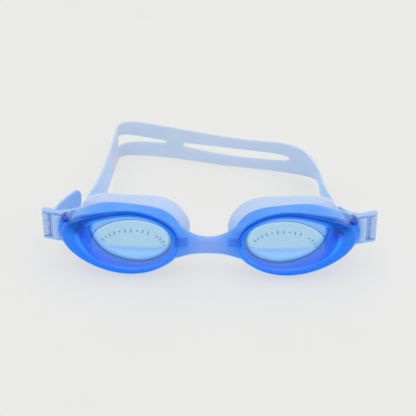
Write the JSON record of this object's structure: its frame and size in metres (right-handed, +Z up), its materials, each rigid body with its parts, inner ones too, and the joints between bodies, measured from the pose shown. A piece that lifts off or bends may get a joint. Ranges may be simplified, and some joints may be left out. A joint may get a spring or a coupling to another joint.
{
  "type": "swim goggles",
  "caption": "Swim goggles with wing-shaped lens pods in a soft one-piece frame, face gaskets, swivelling side clips and a split-back silicone strap.",
  "frame": {"origin": "on the table, under the middle of the whole object's box, with the goggles standing on their two eye frames and the strap lying behind them", "axes": "+X to the right as seen from in front of the lenses, +Y from the lenses back along the strap, +Z up"},
  "size_m": [0.1816, 0.1657, 0.0398],
  "materials": {
    "soft_frame": "satin translucent elastomer",
    "hard_lens": "polished transparent",
    "clear_film": "clear film",
    "gasket_silicone": "frosted silicone",
    "pin_plastic": "moulded",
    "clip_plastic": "satin translucent",
    "clear_bar": "clear moulded",
    "strap_silicone": "frosted silicone"
  },
  "bodies": {
    "goggles": {"frame_bridge": "soft_frame", "lens_left": "hard_lens", "lens_right": "hard_lens", "protective_film_left": "clear_film", "protective_film_right": "clear_film", "gasket_left": "gasket_silicone", "gasket_right": "gasket_silicone", "hinge_pin_left": "pin_plastic", "hinge_pin_right": "pin_plastic", "strap_side_left": "strap_silicone", "strap_side_right": "strap_silicone"},
    "clip_left": {"side_clip_left": "clip_plastic", "end_bar_left": "clear_bar", "strap_turn_left": "strap_silicone"},
    "clip_right": {"side_clip_right": "clip_plastic", "end_bar_right": "clear_bar", "strap_turn_right": "strap_silicone"},
    "tail_left": {"strap_tail_left": "strap_silicone"},
    "tail_right": {"strap_tail_right": "strap_silicone"},
    "strap_loop": {"strap_back": "strap_silicone"}
  },
  "joints": [
    {"name": "clip_left_swivel", "type": "hinge", "parent": "goggles", "child": "clip_left", "pos_m": [-0.0775, -0.05955, 0.022], "axis": [0, 0, 1], "range_deg": [-4, 20], "deforming": ["strap_turn_left"]},
    {"name": "clip_right_swivel", "type": "hinge", "parent": "goggles", "child": "clip_right", "pos_m": [0.0775, -0.05955, 0.022], "axis": [0, 0, 1], "range_deg": [-20, 4], "deforming": ["strap_turn_right"]},
    {"name": "strap_adjust", "type": "slide", "parent": "goggles", "child": "strap_loop", "axis": [0, 1, 0], "range_m": [-0.012, 0.01], "deforming": ["strap_side_left", "strap_side_right"]},
    {"name": "tail_left_feed", "type": "slide", "parent": "clip_left", "child": "tail_left", "axis": [0.2921, 0.9564, 0], "range_m": [-0.01, 0.012], "deforming": ["strap_tail_left"]},
    {"name": "tail_right_feed", "type": "slide", "parent": "clip_right", "child": "tail_right", "axis": [-0.1, 0.995, 0], "range_m": [-0.01, 0.012], "deforming": ["strap_tail_right"]}
  ],
  "couplings": [
    {"joint": "tail_left_feed", "follows": "strap_adjust", "ratio": -1},
    {"joint": "tail_right_feed", "follows": "strap_adjust", "ratio": -1}
  ]
}
